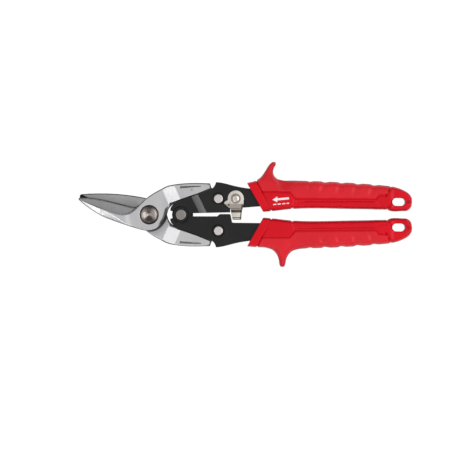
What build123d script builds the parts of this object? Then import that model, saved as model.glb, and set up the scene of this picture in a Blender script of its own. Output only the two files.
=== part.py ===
from build123d import *
import math
import os

# Compound-action aviation snips, 254 mm long, closed and lying on one side.
# X runs from the pivot bolt towards the grips, Y towards the upper handle, and Z up along
# the pivot bolt. The origin is on the bolt's axis, at the table. "Level" below means a
# distance from the mid-plane of the snips, and everything is modelled about that plane
# and lifted by MID at the end. Sizes are in mm.

MID = 8.5                     # mid-plane above the table, and half the grips' thickness
FAR = 120.0                   # longer than any cut needs

# Pivots, in plan. The lower handle's and the rear jaw's mirror the upper ones.
HANDLE_PIVOT = (24.1, 0.0)
LINK_RIVET = (52.6, 12.2)
LATCH_PIVOT = (65.8, 12.3)
HANG_HOLE = (189.7, 9.7)

# Levels
JAW_GAP = 0.05                # half the running gap between the two jaws
ARM_CHAMFER = 0.7
SLIT_DEPTH = 0.8
BOSS_LEVEL = 6.2              # outer face of a jaw at the pivot
RIM_LEVEL = 3.9               # both faces of a jaw's arm
TAIL_LEVEL = 2.5              # both faces of the tail between the handle's plates
SHEET = 1.6                   # handle sheet
PLATE_IN = 2.6
PLATE_OUT = PLATE_IN + SHEET
FLARE = SHEET + 0.1           # the upper handle's nose stands this much further out
NOSE_OUT = PLATE_OUT + FLARE

# Pins, screws and their holes (radii)
BOLT_R, BOLT_HOLE_R = 4.0, 4.05
BOLT_HEAD_R, COUNTERBORE_R, COUNTERBORE_DEPTH = 6.35, 7.15, 1.0
PIVOT_SEAT = BOSS_LEVEL - COUNTERBORE_DEPTH
NUT_ACROSS_FLATS = 12.0
LINK_R, LINK_HOLE_R, LINK_HEAD_R, LINK_HEAD = 2.9, 2.95, 3.35, 1.2
OPEN_HOLE_R = LINK_R + 0.32   # hole of the linkage's free joint, in the rear jaw's tail
PIVOT_R, PIVOT_HOLE_R, PIVOT_HEAD_R, PIVOT_HEAD = 2.6, 2.65, 3.9, 1.2
LATCH_R, LATCH_HOLE_R, LATCH_HEAD_R = 2.4, 2.45, 2.9
SNUG = 0.02                   # a rivet in the plates that it is closed on

# Jaw ramps: the step from boss to arm lies between two lines across the arm
RAMP_NORMAL = (0.913, 0.408)
RAMP_START, RAMP_END = 16.6, 26.7
# Upper handle's joggle, in the same way
JOGGLE_NORMAL = (0.899, 0.438)
JOGGLE_START, JOGGLE_END = 34.4, 39.5

BOSS_R = 12.2
TAIL_R = 6.6
KNUCKLE_R = 6.75              # round end of each handle at the handle pivot
STOP_ANGLE = 21.2             # each handle's opening stop, from straight ahead
STOP_R = 8.7
COVER_R = 9.2                 # the lower rear plate behind the notch next to the knuckle

# Grips
GRIP_ROUND = 4.8
HORN_LEVEL = 5.5
HOLE_R, HOLE_HALF = 3.0, 1.9

# Torsion spring
WIRE_R, COIL_R, COIL_TURNS, COIL_PITCH = 0.65, 6.05, 2.5, 1.38
SLEEVE_R = 5.1


def slab(face, low, high):
    """A plan face made solid between two levels."""
    return Pos(0, 0, low) * extrude(face, high - low)


def disc(centre, radius, low, high):
    return Pos(centre[0], centre[1], (low + high) / 2) * Cylinder(radius, high - low)


def flip(shape):
    """The same shape turned over about the X axis: up is down, front is rear."""
    return Rot(180, 0, 0) * shape


def mirrored(points):
    return [(x, -y) for x, y in points]


def across(profile, normal):
    """A (distance, level) profile swept along the line across which distance is counted."""
    plane = Plane(
        origin=(0, 0, 0),
        x_dir=(normal[0], normal[1], 0),
        z_dir=(normal[1], -normal[0], 0),
    )
    return extrude(plane * make_face(Polyline(*profile, close=True)), FAR, both=True)


def on_circle(centre, radius, degrees):
    a = math.radians(degrees)
    return (centre[0] + radius * math.cos(a), centre[1] + radius * math.sin(a))


# ---------------------------------------------------------------- jaws

ARM_OUTER = [(-2.3, 12.4), (2.1, 15.6), (8.5, 19.2), (13.8, 21.9), (19.5, 23.1),
             (30.8, 24.1), (46.2, 23.9)]
ARM_SHOULDER = (47.8, 20.0)
ARM_INNER = [(52.6, 5.6), (46.0, 5.8), (38.0, 7.0), (30.0, 8.6), (24.0, 9.5),
             (19.5, 8.4), (16.8, 6.9), (15.0, 4.8), (13.8, 1.5), (12.8, -2.2)]

FRONT_BACK = [(-10.5, -10.2), (-17.8, -7.9), (-29.5, -3.8), (-37.2, -0.7), (-44.6, 3.9),
              (-51.8, 9.3), (-54.2, 12.0)]
FRONT_TIP = (-53.4, 13.0)
FRONT_EDGE = [(-46.9, 13.1), (-40.6, 12.3), (-34.3, 11.2), (-27.5, 9.6), (-20.7, 8.0),
              (-13.9, 6.1), (-11.0, 5.8)]
FRONT_ROOT = [(-11.0, 5.8), (-8.1, 7.4), (-2.3, 12.4)]

REAR_BACK = [(-8.1, 13.8), (-22.7, 15.7), (-39.7, 16.3), (-52.5, 15.8)]
REAR_TIP = (-53.5, 13.2)
REAR_EDGE = [(-53.0, 12.6), (-46.0, 11.2), (-34.0, 8.2), (-22.0, 4.4), (-12.2, 0.6)]
REAR_ROOT = [(-12.2, 0.6), (-11.2, -5.2), (-8.1, -8.0), (-2.3, -12.4)]


def arm_edges():
    """The outline from the blade's root, round the arm and its tail, to under the boss."""
    tail_top = on_circle(LINK_RIVET, TAIL_R, 100)
    tail_side = on_circle(LINK_RIVET, TAIL_R, 0)
    boss_start = on_circle((0, 0), BOSS_R, -35)
    boss_mid = on_circle((0, 0), BOSS_R, -65)
    boss_end = on_circle((0, 0), BOSS_R, -100)
    return boss_end, [
        Spline(*ARM_OUTER),
        Polyline(ARM_OUTER[-1], ARM_SHOULDER, tail_top),
        ThreePointArc(tail_top, tail_side, ARM_INNER[0]),
        Spline(*ARM_INNER, boss_start),
        ThreePointArc(boss_start, boss_mid, boss_end),
    ]


def jaw_stock(outline):
    """A jaw's outline with the forging's levels: boss, ramp, arm, and the thin tail."""
    levels = [
        (-FAR, BOSS_LEVEL), (RAMP_START, BOSS_LEVEL), (RAMP_END, RIM_LEVEL), (FAR, RIM_LEVEL),
        (FAR, -RIM_LEVEL), (RAMP_END, -RIM_LEVEL), (RAMP_START, JAW_GAP), (-FAR, JAW_GAP),
    ]
    stock = slab(outline, -MID, MID) & across(levels, RAMP_NORMAL)
    outer_edges = [e for e in stock.edges()
                   if abs(abs(e.center().Z) - RIM_LEVEL) < 0.01 and e.center().Y > 23]
    return chamfer(outer_edges, ARM_CHAMFER) - arm_marks()


def arm_marks():
    """A tapered slit and a small pit in each face of the arm."""
    slit = make_face(Polyline((23.4, 20.4), (39.4, 21.6), (39.4, 21.9), (23.4, 21.5), close=True))
    pit = make_face(Pos(32.2, 19.0) * Circle(0.6))
    marks = slab(slit, RIM_LEVEL - SLIT_DEPTH, MID) + slab(pit, RIM_LEVEL - 0.4, MID)
    return marks + mirror(marks, Plane.XY)


def tail_pockets():
    """What is cut from the front jaw's arm so that the handle's plates go either side."""
    under_plate = make_face(Polyline(
        (15.4, 8.6), (21.0, 10.6), (26.9, 12.6), (36.7, 16.0), (45.8, 19.8), (47.0, 21.6),
        (62.0, 24.0), (62.0, 0.0), (20.0, 0.0), (15.4, 5.0), close=True))
    return slab(under_plate, TAIL_LEVEL, MID) + slab(under_plate, -MID, -TAIL_LEVEL)


def grind(zone, edge_from, edge_to, edge_level, rise):
    """A sloping cut into the outer face: level edge_level along the cutting edge's chord,
    rising by `rise` per mm towards the back of the blade."""
    run = (edge_to[0] - edge_from[0], edge_to[1] - edge_from[1])
    length = math.hypot(*run)
    normal = (run[1] / length, -run[0] / length)
    start = edge_from[0] * normal[0] + edge_from[1] * normal[1]
    profile = [
        (start - 12, edge_level - 12 * rise), (start + 30, edge_level + 30 * rise),
        (start + 30, FAR), (start - 12, FAR),
    ]
    return slab(zone, 0, MID) & across(profile, normal)


def blade_cuts(back_zone, taper_normal):
    """The taper towards the tip and the bevels along a blade's back."""
    taper = across([(20, BOSS_LEVEL), (56, 2.8), (56, FAR), (20, FAR)], taper_normal)
    return taper & slab(back_zone, 0, MID)


def front_jaw():
    boss_end, arm = arm_edges()
    outline = make_face([
        *arm,
        Spline(boss_end, *FRONT_BACK),
        Polyline(FRONT_BACK[-1], FRONT_TIP),
        Spline(FRONT_TIP, *FRONT_EDGE),
        Spline(*FRONT_ROOT),
    ])
    jaw = jaw_stock(outline) - tail_pockets()
    blade_side = make_face(Polyline(
        (-60, 30), (-60, -20), (-10, -20), (-14, -2), (-9, 6), (-6, 30), close=True))
    jaw -= blade_cuts(blade_side, (-0.976, 0.217))
    ground = make_face([
        Spline((-56, 13.0), (-40, 6.6), (-29.5, 2.2), (-24.0, 0.2), (-19.0, 0.0),
               (-14.5, 1.8), (-11.0, 4.6), (-6.0, 9.6)),
        Polyline((-6.0, 9.6), (-10, 20), (-60, 20), (-56, 13.0)),
    ])
    jaw -= grind(ground, (-53, 13.0), (-12, 6.0), 1.1, 0.32)
    jaw -= grind(blade_side, (-29.5, -3.8), (-54.5, 11.7), 0.9, 0.75)
    jaw -= disc((0, 0), BOLT_HOLE_R, -MID, MID)
    jaw -= disc((0, 0), COUNTERBORE_R, PIVOT_SEAT, MID)
    jaw -= disc(LINK_RIVET, LINK_HOLE_R, -MID, MID)
    return jaw


def rear_jaw():
    """Worked out turned over, where its outer face is up and its arm on the upper side."""
    back, edge, root = mirrored(REAR_BACK), mirrored(REAR_EDGE), mirrored(REAR_ROOT)
    boss_end, arm = arm_edges()
    outline = make_face([
        *arm,
        Spline(boss_end, *back),
        Polyline(back[-1], *mirrored([REAR_TIP]), edge[0]),
        Spline(*edge),
        Spline(*root),
    ])
    jaw = jaw_stock(outline) - tail_pockets()
    blade_side = make_face(Polyline(
        (-60, 20), (-60, -30), (-6, -30), (-9, -12), (-14, -2), (-12, 20), close=True))
    jaw -= blade_cuts(blade_side, (-0.967, -0.256))
    ground = make_face([
        Spline((-56, -14.2), (-40, -12.6), (-30, -12.2), (-22.0, -11.4), (-15.5, -8.0),
               (-12.4, -3.0), (-11.6, 3.0)),
        Polyline((-11.6, 3.0), (-20, 8), (-60, 8), (-56, -14.2)),
    ])
    jaw -= grind(ground, (-53, -12.6), (-12, -0.6), 1.1, 0.32)
    jaw -= grind(blade_side, (-22.7, -15.7), (-52.5, -15.8), 1.4, 0.75)
    jaw -= disc((0, 0), BOLT_HOLE_R, -MID, MID)
    jaw -= disc((0, 0), COUNTERBORE_R, PIVOT_SEAT, MID)
    jaw -= disc(LINK_RIVET, OPEN_HOLE_R, -MID, MID)
    return flip(jaw)


# ---------------------------------------------------------------- pivot bolt

def pivot_bolt():
    """Shank and domed head, turned: the head has a rolled rim and a dished centre."""
    seat = PIVOT_SEAT
    section = make_face([
        Polyline((0, -MID), (BOLT_R - 0.4, -MID), (BOLT_R, -MID + 0.4), (BOLT_R, seat),
                 (BOLT_HEAD_R, seat), (BOLT_HEAD_R, seat + 1.6)),
        ThreePointArc((BOLT_HEAD_R, seat + 1.6), (5.7, MID - 0.45), (4.8, MID - 0.1)),
        ThreePointArc((4.8, MID - 0.1), (3.7, MID - 0.45), (2.4, MID - 1.1)),
        Polyline((2.4, MID - 1.1), (1.2, MID - 1.25), (0.0, MID - 1.9), (0, -MID)),
    ])
    return revolve(Plane.XZ * section, Axis.Z)


def pivot_washer():
    return (disc((0, 0), BOLT_HEAD_R, -PIVOT_SEAT - 0.55, -PIVOT_SEAT - 0.05)
            - disc((0, 0), BOLT_HOLE_R, -MID, MID))


def pivot_spring_washer():
    """A conical washer, thinner at its rim than the space that it takes up."""
    low, high = -PIVOT_SEAT - 1.05, -PIVOT_SEAT - 0.55
    section = Polyline((BOLT_HOLE_R, low), (BOLT_HOLE_R + 1.2, low), (6.1, high - 0.25),
                       (6.1, high), (BOLT_HOLE_R, high - 0.15), close=True)
    return revolve(Plane.XZ * make_face(section), Axis.Z)


def pivot_nut():
    top = -PIVOT_SEAT - 1.05
    radius = NUT_ACROSS_FLATS / math.sqrt(3)
    hexagon = slab(RegularPolygon(radius, 6), -MID, top)
    chamfered = Pos(0, 0, (top - MID) / 2) * Cone(
        NUT_ACROSS_FLATS / 2 - 0.2, NUT_ACROSS_FLATS / 2 + 2.2, top + MID)
    return (hexagon & chamfered) - disc((0, 0), BOLT_R + SNUG, -MID, MID)


# ---------------------------------------------------------------- handles

PLATE_TOP = [(19.0, 8.2), (22.4, 10.2), (26.9, 12.0), (36.7, 15.4), (47.6, 19.8)]
PLATE_SCOOP = [(47.6, 19.8), (49.4, 21.6), (50.7, 24.8)]
PLATE_BACK = [(50.7, 24.8), (57.2, 23.9), (63.7, 22.2), (72.0, 20.5), (84.0, 19.5)]
NOSE = [(16.6, 5.8), (19.0, 8.2)]
TANG_TOP = [(84.0, 19.5), (130.0, 19.0), (179.0, 15.6)]
TANG_END = (179.0, 7.5)
UPPER_EDGE = [(83.0, 6.3), (73.0, 5.5), (62.4, 5.4)]
SLOT_START_X = 33.2
SLOT_HALF = 1.2
LATCH_STEP_X = 61.6
CATCH_TOP = 0.5               # the lower handle's raised catch
CATCH_LOW = -6.1              # the edge beyond the catch


def nose_edges(side):
    """From the slot's start, round the knuckle, over the stop and up the nose."""
    slot = (SLOT_START_X, side * SLOT_HALF)
    knuckle_start = on_circle(HANDLE_PIVOT, KNUCKLE_R, side * -25)
    knuckle_mid = on_circle(HANDLE_PIVOT, KNUCKLE_R, side * -110)
    knuckle_end = on_circle(HANDLE_PIVOT, KNUCKLE_R, side * (180 - STOP_ANGLE))
    stop = on_circle(HANDLE_PIVOT, STOP_R, side * (180 - STOP_ANGLE))
    nose = NOSE if side > 0 else mirrored(NOSE)
    notch = (31.6, side * 0.3)
    return [
        Polyline(slot, notch, knuckle_start),
        ThreePointArc(knuckle_start, knuckle_mid, knuckle_end),
        Polyline(knuckle_end, stop),
        Spline(stop, *nose),
    ]


def side_outline(side, inner_edge):
    def to(points):
        return points if side > 0 else mirrored(points)

    return make_face([
        *nose_edges(side),
        Spline(*to(PLATE_TOP)),
        Spline(*to(PLATE_SCOOP)),
        Spline(*to(PLATE_BACK)),
        Spline(*to(TANG_TOP)),
        Polyline(to(TANG_TOP)[-1], to([TANG_END])[0], to(UPPER_EDGE)[0]),
        Polyline(*inner_edge),
    ])


def web(side):
    """The folded back of the channel, one sheet deep along the outer edge."""
    def to(points):
        return points if side > 0 else mirrored(points)

    def under(points):
        return [(x, y - SHEET) for x, y in points]

    start, end = PLATE_BACK[0], TANG_TOP[-1]
    return slab(make_face([
        Spline(*to(PLATE_BACK)), Spline(*to(TANG_TOP)),
        Polyline(*to([end, *under([end])])),
        Spline(*to(under(TANG_TOP))), Spline(*to(under(PLATE_BACK))),
        Polyline(*to([*under([start]), start]))]), -PLATE_OUT, PLATE_OUT)


def plate_pair(outline, profile, normal):
    """Front and rear side plates: the outline at the profile's levels, both sides."""
    front = slab(outline, 0, MID) & across(profile, normal)
    return front + mirror(front, Plane.XY)


def upper_handle():
    edge = [UPPER_EDGE[0], UPPER_EDGE[1], UPPER_EDGE[2], (LATCH_STEP_X, 4.6),
            (LATCH_STEP_X, 1.8), (SLOT_START_X, SLOT_HALF)]
    outline = side_outline(1, edge)
    bend = 0.45               # keeps the joggled stretch one sheet thick
    profile = [
        (-FAR, PLATE_IN + FLARE), (JOGGLE_START, PLATE_IN + FLARE), (JOGGLE_END, PLATE_IN),
        (2 * FAR, PLATE_IN), (2 * FAR, PLATE_OUT), (JOGGLE_END + bend, PLATE_OUT),
        (JOGGLE_START + bend, NOSE_OUT), (-FAR, NOSE_OUT),
    ]
    body = plate_pair(outline, profile, JOGGLE_NORMAL) + web(1)
    body -= disc(HANDLE_PIVOT, PIVOT_R + SNUG, -MID, MID)
    body -= disc(LINK_RIVET, LINK_R + SNUG, -MID, MID)
    body -= disc(LATCH_PIVOT, LATCH_R + SNUG, -MID, MID)
    ring = disc(LINK_RIVET, 4.9, PLATE_OUT - 0.12, MID) - disc(LINK_RIVET, 4.3, 0, MID)
    return body - ring


def lower_handle():
    edge = [(83.0, -6.3), (64.4, CATCH_LOW), (63.0, CATCH_LOW + 0.3), (61.9, CATCH_TOP - 0.6),
            (61.3, CATCH_TOP), (53.7, CATCH_TOP), (51.6, -SLOT_HALF),
            (SLOT_START_X, -SLOT_HALF)]
    outline = side_outline(-1, edge)
    profile = [(-FAR, PLATE_IN), (2 * FAR, PLATE_IN), (2 * FAR, PLATE_OUT), (-FAR, PLATE_OUT)]
    body = plate_pair(outline, profile, (1.0, 0.0)) + web(-1)
    # Bridge between the plates, under which the latch's nose goes
    bridge = Pos(58.0, CATCH_TOP - SHEET / 2, 0) * Box(7.0, SHEET, 2 * PLATE_IN + 0.4)
    body += bridge
    # Stop lugs, struck out to the level of the upper handle's nose
    lug_ring = make_face(Polyline(
        *[on_circle(HANDLE_PIVOT, KNUCKLE_R + 0.15, a) for a in range(236, 200, -5)],
        on_circle(HANDLE_PIVOT, KNUCKLE_R + 0.15, 180 + STOP_ANGLE),
        on_circle(HANDLE_PIVOT, STOP_R + 2, 180 + STOP_ANGLE),
        on_circle(HANDLE_PIVOT, STOP_R + 3, 236), close=True))
    lug = slab(outline, PLATE_OUT - 0.2, NOSE_OUT) & slab(lug_ring, 0, MID)
    body += lug + mirror(lug, Plane.XY)
    # The rear plate runs on behind the notch
    cover = make_face(Polyline(
        HANDLE_PIVOT, *[on_circle(HANDLE_PIVOT, COVER_R, a) for a in range(-30, 31, 6)],
        close=True))
    body += slab(cover, -PLATE_OUT, -PLATE_IN)
    body -= disc(HANDLE_PIVOT, PIVOT_HOLE_R, -MID, MID)
    return body - disc((LINK_RIVET[0], -LINK_RIVET[1]), LINK_R + SNUG, -MID, MID)


def rivet(centre, radius, head_r, head, face_level, crown):
    """A rivet closed on both sides: shank and two low crowned heads."""
    top = face_level + head
    half = [
        Polyline((0, 0), (radius, 0), (radius, face_level), (head_r, face_level),
                 (head_r, top - crown)),
        ThreePointArc((head_r, top - crown), (head_r * 0.93, top - crown * 0.28),
                      (head_r * 0.80, top)),
        Polyline((head_r * 0.80, top), (0, top), (0, 0)),
    ]
    upper = revolve(Plane.XZ * make_face(half), Axis.Z)
    return Pos(centre[0], centre[1], 0) * (upper + mirror(upper, Plane.XY))


def spring_sleeve():
    return (disc(HANDLE_PIVOT, SLEEVE_R, -PLATE_IN + 0.05, PLATE_IN - 0.05)
            - disc(HANDLE_PIVOT, PIVOT_R + SNUG, -MID, MID))


def torsion_spring():
    """The coil round the sleeve, half a turn at a time, and its two legs, one per handle."""
    half_turns = int(2 * COIL_TURNS)
    step = COIL_PITCH / 2
    rise = half_turns * step
    path = Helix(COIL_PITCH, step, COIL_R, center=(0, 0, -rise / 2))
    section = Plane(origin=path @ 0, z_dir=path % 0) * Circle(WIRE_R)
    half_turn = sweep(section, path=path, is_frenet=True)
    coil = half_turn
    for i in range(1, half_turns):
        coil += Pos(0, 0, i * step) * Rot(0, 0, i * 180) * half_turn
    spring = Pos(*HANDLE_PIVOT) * Rot(0, 0, 90) * coil
    for side in (1, -1):
        level = -side * rise / 2
        leg_end = (46.0, side * 3.7)
        leg_from = (HANDLE_PIVOT[0], side * COIL_R)
        run = Vector(leg_end[0] - leg_from[0], leg_end[1] - leg_from[1], 0)
        leg = Plane(origin=(*leg_from, level), z_dir=run) * extrude(
            Circle(WIRE_R + 0.03), run.length)
        spring += leg + Pos(*leg_from, level) * Sphere(WIRE_R + 0.05)
    return spring


# ---------------------------------------------------------------- latch

LATCH_HEAD_OUT = PLATE_OUT + 0.4
LATCH_SHEET = 1.5
BACKING_WASHER = 0.6


def latch():
    """Stamped thumb latch: round head and ear on the plate, stem stepped in to the foot."""
    head_r = 6.1
    ear_top = on_circle(LATCH_PIVOT, head_r, 190)
    crown = on_circle(LATCH_PIVOT, head_r, 90)
    right = on_circle(LATCH_PIVOT, head_r, -12)
    outline = make_face([
        ThreePointArc(ear_top, crown, right),
        Polyline(right, (71.6, 7.6), (70.4, 2.0), (69.9, -3.9), (63.5, -3.9), (62.4, 1.0),
                 (61.9, 4.4), (59.9, 5.9), (57.2, 8.4), (57.0, 9.3), (57.6, 9.9), ear_top),
    ])
    low, high = LATCH_HEAD_OUT, LATCH_HEAD_OUT + LATCH_SHEET
    half = LATCH_SHEET / 2
    side_view = Polyline(
        (20, high), (20, low), (7.9, low), (3.9, low - 0.3), (3.9, -half), (-3.9, -half),
        (-3.9, 1.6), (-2.7, 1.6), (-2.1, half), (1.6, half), (3.4, high - 0.9),
        (4.0, high - 0.5), (8.0, high), close=True)
    plane = Plane(origin=(0, 0, 0), x_dir=(0, 1, 0), z_dir=(1, 0, 0))
    bar = extrude(plane * make_face(side_view), FAR)
    body = slab(outline, -MID, MID) & bar
    body -= disc(LATCH_PIVOT, LATCH_HOLE_R, -MID, MID)
    body -= disc(LATCH_PIVOT, 3.7, high - 0.5, MID)
    return body - disc((60.5, 7.5), 0.55, 0, MID)


def latch_rivet():
    x, y = LATCH_PIVOT
    top = LATCH_HEAD_OUT + LATCH_SHEET - 0.5
    rear = -PLATE_OUT - BACKING_WASHER
    section = make_face([
        Polyline((0, rear - 0.9), (LATCH_HEAD_R, rear - 0.9), (LATCH_HEAD_R + 0.5, rear - 0.4),
                 (LATCH_HEAD_R + 0.5, rear), (LATCH_R, rear), (LATCH_R, top + 0.03),
                 (LATCH_HEAD_R, top + 0.03), (LATCH_HEAD_R, top + 0.5)),
        ThreePointArc((LATCH_HEAD_R, top + 0.5), (2.3, top + 1.0), (1.2, top + 1.3)),
        Polyline((1.2, top + 1.3), (0, top + 1.3), (0, rear - 0.9)),
    ])
    return Pos(x, y, 0) * revolve(Plane.XZ * section, Axis.Z)


def latch_backing_washer():
    return (disc(LATCH_PIVOT, 4.8, -PLATE_OUT - BACKING_WASHER, -PLATE_OUT)
            - disc(LATCH_PIVOT, LATCH_R + SNUG, -MID, 0))


def latch_washer():
    return (disc(LATCH_PIVOT, 4.6, PLATE_OUT, LATCH_HEAD_OUT - 0.03)
            - disc(LATCH_PIVOT, LATCH_R + SNUG, 0, MID))


# ---------------------------------------------------------------- grips

GRIP_FRONT_TOP, GRIP_FRONT_LOW = (74.4, 24.4), (86.7, 2.1)
GRIP_BACK = [(74.4, 24.4), (81.0, 25.4), (105.0, 26.1), (130.0, 25.6), (160.0, 23.9),
             (182.4, 21.9), (193.1, 18.9)]
GRIP_END = [(193.1, 18.9), (197.8, 16.0), (200.1, 9.8), (198.6, 4.6), (194.6, 2.7)]
GRIP_INNER = [(194.6, 2.7), (183.4, 2.7), (180.4, 3.6), (150.0, 4.4), (120.0, 4.8),
              (100.0, 3.5), (86.7, 2.1)]
# Along the bar: distance from the bolt, inner edge, outer edge
GRIP_SECTIONS = [(70, 1.6, 24.0), (86, 2.0, 26.0), (108, 4.0, 26.3), (130, 4.5, 25.8),
                 (182, 3.2, 22.3), (202, 2.3, 17.5)]
HOOK_HORN = [(77.0, 23.5), (80.6, 26.0), (82.3, 26.9), (85.0, 29.0), (88.6, 34.1),
             (90.6, 37.3), (92.6, 39.6), (94.7, 40.5), (96.4, 39.1), (95.0, 35.8),
             (94.3, 32.6), (95.1, 29.7), (97.1, 27.6), (100.2, 26.5), (103.0, 23.5)]
PEG_HORN = [(86.0, 23.5), (89.5, 25.4), (94.4, 27.4), (97.4, 31.2), (98.6, 34.9),
            (99.1, 38.0), (100.0, 39.5), (101.3, 39.9), (102.7, 39.5), (103.5, 37.7),
            (104.2, 34.2), (105.7, 31.0), (108.3, 28.2), (112.7, 26.5), (116.0, 23.5)]
# The palm pad lies outside this line, from the collar to the eye
PAD_LINE = [(81.0, 30.0), (83.0, 21.4), (85.2, 17.5), (106.6, 17.5), (111.0, 12.3),
            (172.3, 11.9), (174.2, 14.8), (181.6, 15.8), (183.4, 30.0)]


def grip_body():
    """A rounded bar, waisted behind the horn and tapering towards the eye."""
    sections = []
    for x, low, high in GRIP_SECTIONS:
        plane = Plane(origin=(x, (low + high) / 2, 0), x_dir=(0, 1, 0), z_dir=(1, 0, 0))
        sections.append(plane * RectangleRounded(high - low, 2 * MID, GRIP_ROUND))
    return loft(sections, ruled=True)


def grip_blank(horn):
    """Collar, body, hanging eye and finger horn in one, before it is parted in two."""
    outline = make_face([
        Spline(*GRIP_BACK), Spline(*GRIP_END), Polyline(*GRIP_INNER),
        Polyline(GRIP_FRONT_LOW, GRIP_FRONT_TOP)])
    body = grip_body() & slab(outline, -MID, MID)
    horn_face = make_face([Spline(*horn), Polyline(horn[-1], horn[0])])
    blank = body + slab(horn_face, -HORN_LEVEL, HORN_LEVEL)
    x, y = HANG_HOLE
    eye = Pos(x, y, 0) * SlotOverall(2 * (HOLE_R + HOLE_HALF), 2 * HOLE_R)
    blank -= slab(eye, -MID, MID)
    tang = make_face([
        Spline(*PLATE_BACK), Spline(*TANG_TOP),
        Polyline(TANG_TOP[-1], TANG_END, UPPER_EDGE[0], (70, 5.4), (50, 5.4),
                 PLATE_BACK[0])])
    return blank - slab(tang, -PLATE_OUT, PLATE_OUT)


def grip_parts(horn):
    blank = grip_blank(horn)
    outside = slab(make_face(Polyline(*PAD_LINE, (183.4, 60), (60, 60), (60, 30),
                                      close=True)), -MID - 1, MID + 1)
    # the collar keeps everything ahead of its groove
    collar = slab(make_face(Polyline((60, 60), (60, 0), (92.6, 0), (80.6, 25.8), (78, 60),
                                     close=True)), -MID - 1, MID + 1)
    pad_zone = outside - collar
    return blank - pad_zone, blank & pad_zone


# ---------------------------------------------------------------- assembly

def build():
    lower_rivet = (LINK_RIVET[0], -LINK_RIVET[1])
    upper_grip, upper_pad = grip_parts(HOOK_HORN)
    lower_grip, lower_pad = (mirror(p, Plane.XZ) for p in grip_parts(PEG_HORN))
    return {
        "front_jaw": front_jaw(),
        "rear_jaw": rear_jaw(),
        "pivot_bolt": pivot_bolt(),
        "pivot_washer": pivot_washer(),
        "pivot_spring_washer": pivot_spring_washer(),
        "pivot_nut": pivot_nut(),
        "upper_handle_channel": upper_handle(),
        "lower_handle_channel": lower_handle(),
        "upper_link_rivet": rivet(LINK_RIVET, LINK_R, LINK_HEAD_R, LINK_HEAD, PLATE_OUT, 0.3),
        "lower_link_rivet": rivet(lower_rivet, LINK_R, LINK_HEAD_R, LINK_HEAD, PLATE_OUT, 0.3),
        "handle_pivot_rivet": rivet(
            HANDLE_PIVOT, PIVOT_R, PIVOT_HEAD_R, PIVOT_HEAD, NOSE_OUT, 0.4),
        "spring_sleeve": spring_sleeve(),
        "torsion_spring": torsion_spring(),
        "latch_plate": latch(),
        "latch_washer": latch_washer(),
        "latch_backing_washer": latch_backing_washer(),
        "latch_rivet": latch_rivet(),
        "upper_grip": upper_grip,
        "upper_grip_pad": upper_pad,
        "lower_grip": lower_grip,
        "lower_grip_pad": lower_pad,
    }


def main():
    os.makedirs("parts", exist_ok=True)
    for name, shape in build().items():
        export_step(Pos(0, 0, MID) * shape, f"parts/{name}.step")


main()
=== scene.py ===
import math

import bpy
import numpy as np
import openvdb as vdb
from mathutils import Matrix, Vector


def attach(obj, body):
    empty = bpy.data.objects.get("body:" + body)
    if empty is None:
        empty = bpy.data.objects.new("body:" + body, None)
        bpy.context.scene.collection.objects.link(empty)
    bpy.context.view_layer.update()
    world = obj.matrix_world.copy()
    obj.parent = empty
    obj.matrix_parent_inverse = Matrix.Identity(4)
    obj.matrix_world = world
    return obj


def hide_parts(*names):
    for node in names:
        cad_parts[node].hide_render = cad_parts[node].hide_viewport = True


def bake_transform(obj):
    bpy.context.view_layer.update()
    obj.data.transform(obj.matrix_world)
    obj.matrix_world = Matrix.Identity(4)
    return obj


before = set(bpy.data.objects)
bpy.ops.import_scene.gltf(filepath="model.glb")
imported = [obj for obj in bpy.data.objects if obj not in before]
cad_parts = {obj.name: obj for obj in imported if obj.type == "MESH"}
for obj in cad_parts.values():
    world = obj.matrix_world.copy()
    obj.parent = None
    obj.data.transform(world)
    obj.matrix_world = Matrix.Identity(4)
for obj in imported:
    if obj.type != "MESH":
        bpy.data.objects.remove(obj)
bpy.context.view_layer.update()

MM = 0.001
MID = 8.5                     # mid-plane of the snips above the table, mm
HANDLE_PIVOT = (24.1, 0.0)
LINK_RIVET = (52.6, 12.2)
LATCH_PIVOT = (65.8, 12.3)
HANG_HOLE = (189.7, 9.7)
HOLE_R, HOLE_HALF = 3.0, 1.9  # the hang hole's end radius and half its straight length
JOGGLE_NORMAL = (0.899, 0.438)

# ---------------------------------------------------------------- camera, floor, light

CAMERA_PLACE = (0.0637, -0.0139)
CAMERA_DISTANCE = 2.465       # m above the mid-plane, looking straight down
LIGHT_TARGET = (0.07, 0, 0)


def add_camera():
    data = bpy.data.cameras.new("camera")
    data.sensor_width = 36
    data.lens = 250
    data.clip_start, data.clip_end = 0.1, 10
    cam = bpy.data.objects.new("camera", data)
    cam.location = (*CAMERA_PLACE, MID * MM + CAMERA_DISTANCE)
    bpy.context.scene.collection.objects.link(cam)
    bpy.context.scene.camera = cam


def add_floor():
    """A pale sheet just under the object, wide enough to fill every view."""
    mesh = bpy.data.meshes.new("floor")
    r = 2.5
    mesh.from_pydata([(-r, -r, 0), (r, -r, 0), (r, r, 0), (-r, r, 0)], [], [(0, 1, 2, 3)])
    floor = bpy.data.objects.new("floor", mesh)
    floor.location = (0, 0, -0.0001)
    bpy.context.scene.collection.objects.link(floor)
    mat = bpy.data.materials.new("floor")
    mat.use_nodes = True
    shader = mat.node_tree.nodes["Principled BSDF"]
    shader.inputs["Base Color"].default_value = (0.12, 0.12, 0.12, 1)
    shader.inputs["Roughness"].default_value = 0.9
    shader.inputs["Specular IOR Level"].default_value = 0.0
    shader.inputs["Emission Color"].default_value = (1, 1, 1, 1)
    shader.inputs["Emission Strength"].default_value = 0.97
    mesh.materials.append(mat)


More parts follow.
